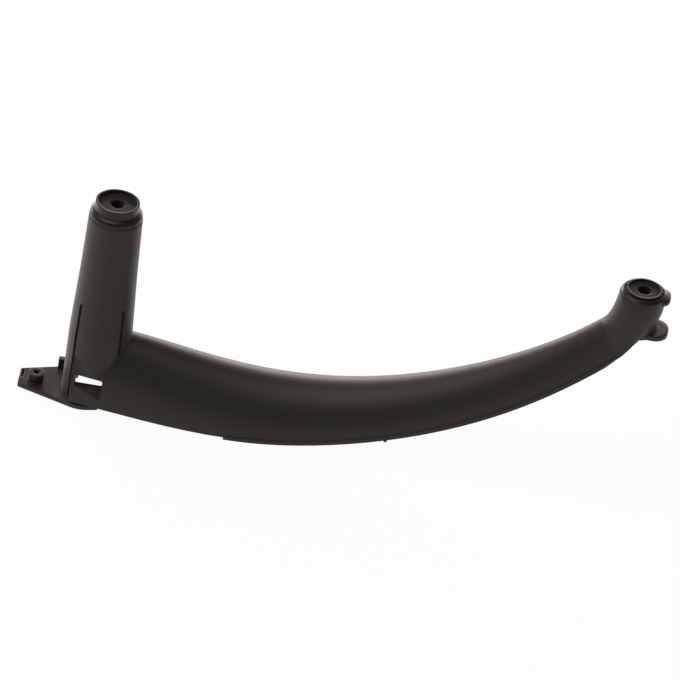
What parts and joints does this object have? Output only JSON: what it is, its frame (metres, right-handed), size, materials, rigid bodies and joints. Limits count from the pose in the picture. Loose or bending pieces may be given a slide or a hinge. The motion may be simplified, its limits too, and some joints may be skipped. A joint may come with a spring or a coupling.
{
  "type": "inner door pull handle",
  "caption": "Curved grip bar with an open channel beneath, carried on a tall and a short hollow post that screw to the inside of a car door.",
  "frame": {"origin": "middle of the tall post's end, which seats on the door", "axes": "+Z along the posts towards the door, +X from the tall post to the short post, +Y across the bar"},
  "size_m": [0.2888, 0.0396, 0.1064],
  "materials": {
    "black_plastic": "matte black with a fine grain, bare and slightly darker at the post ends"
  },
  "bodies": {
    "root": {"handle_carrier": "black_plastic"}
  },
  "joints": []
}
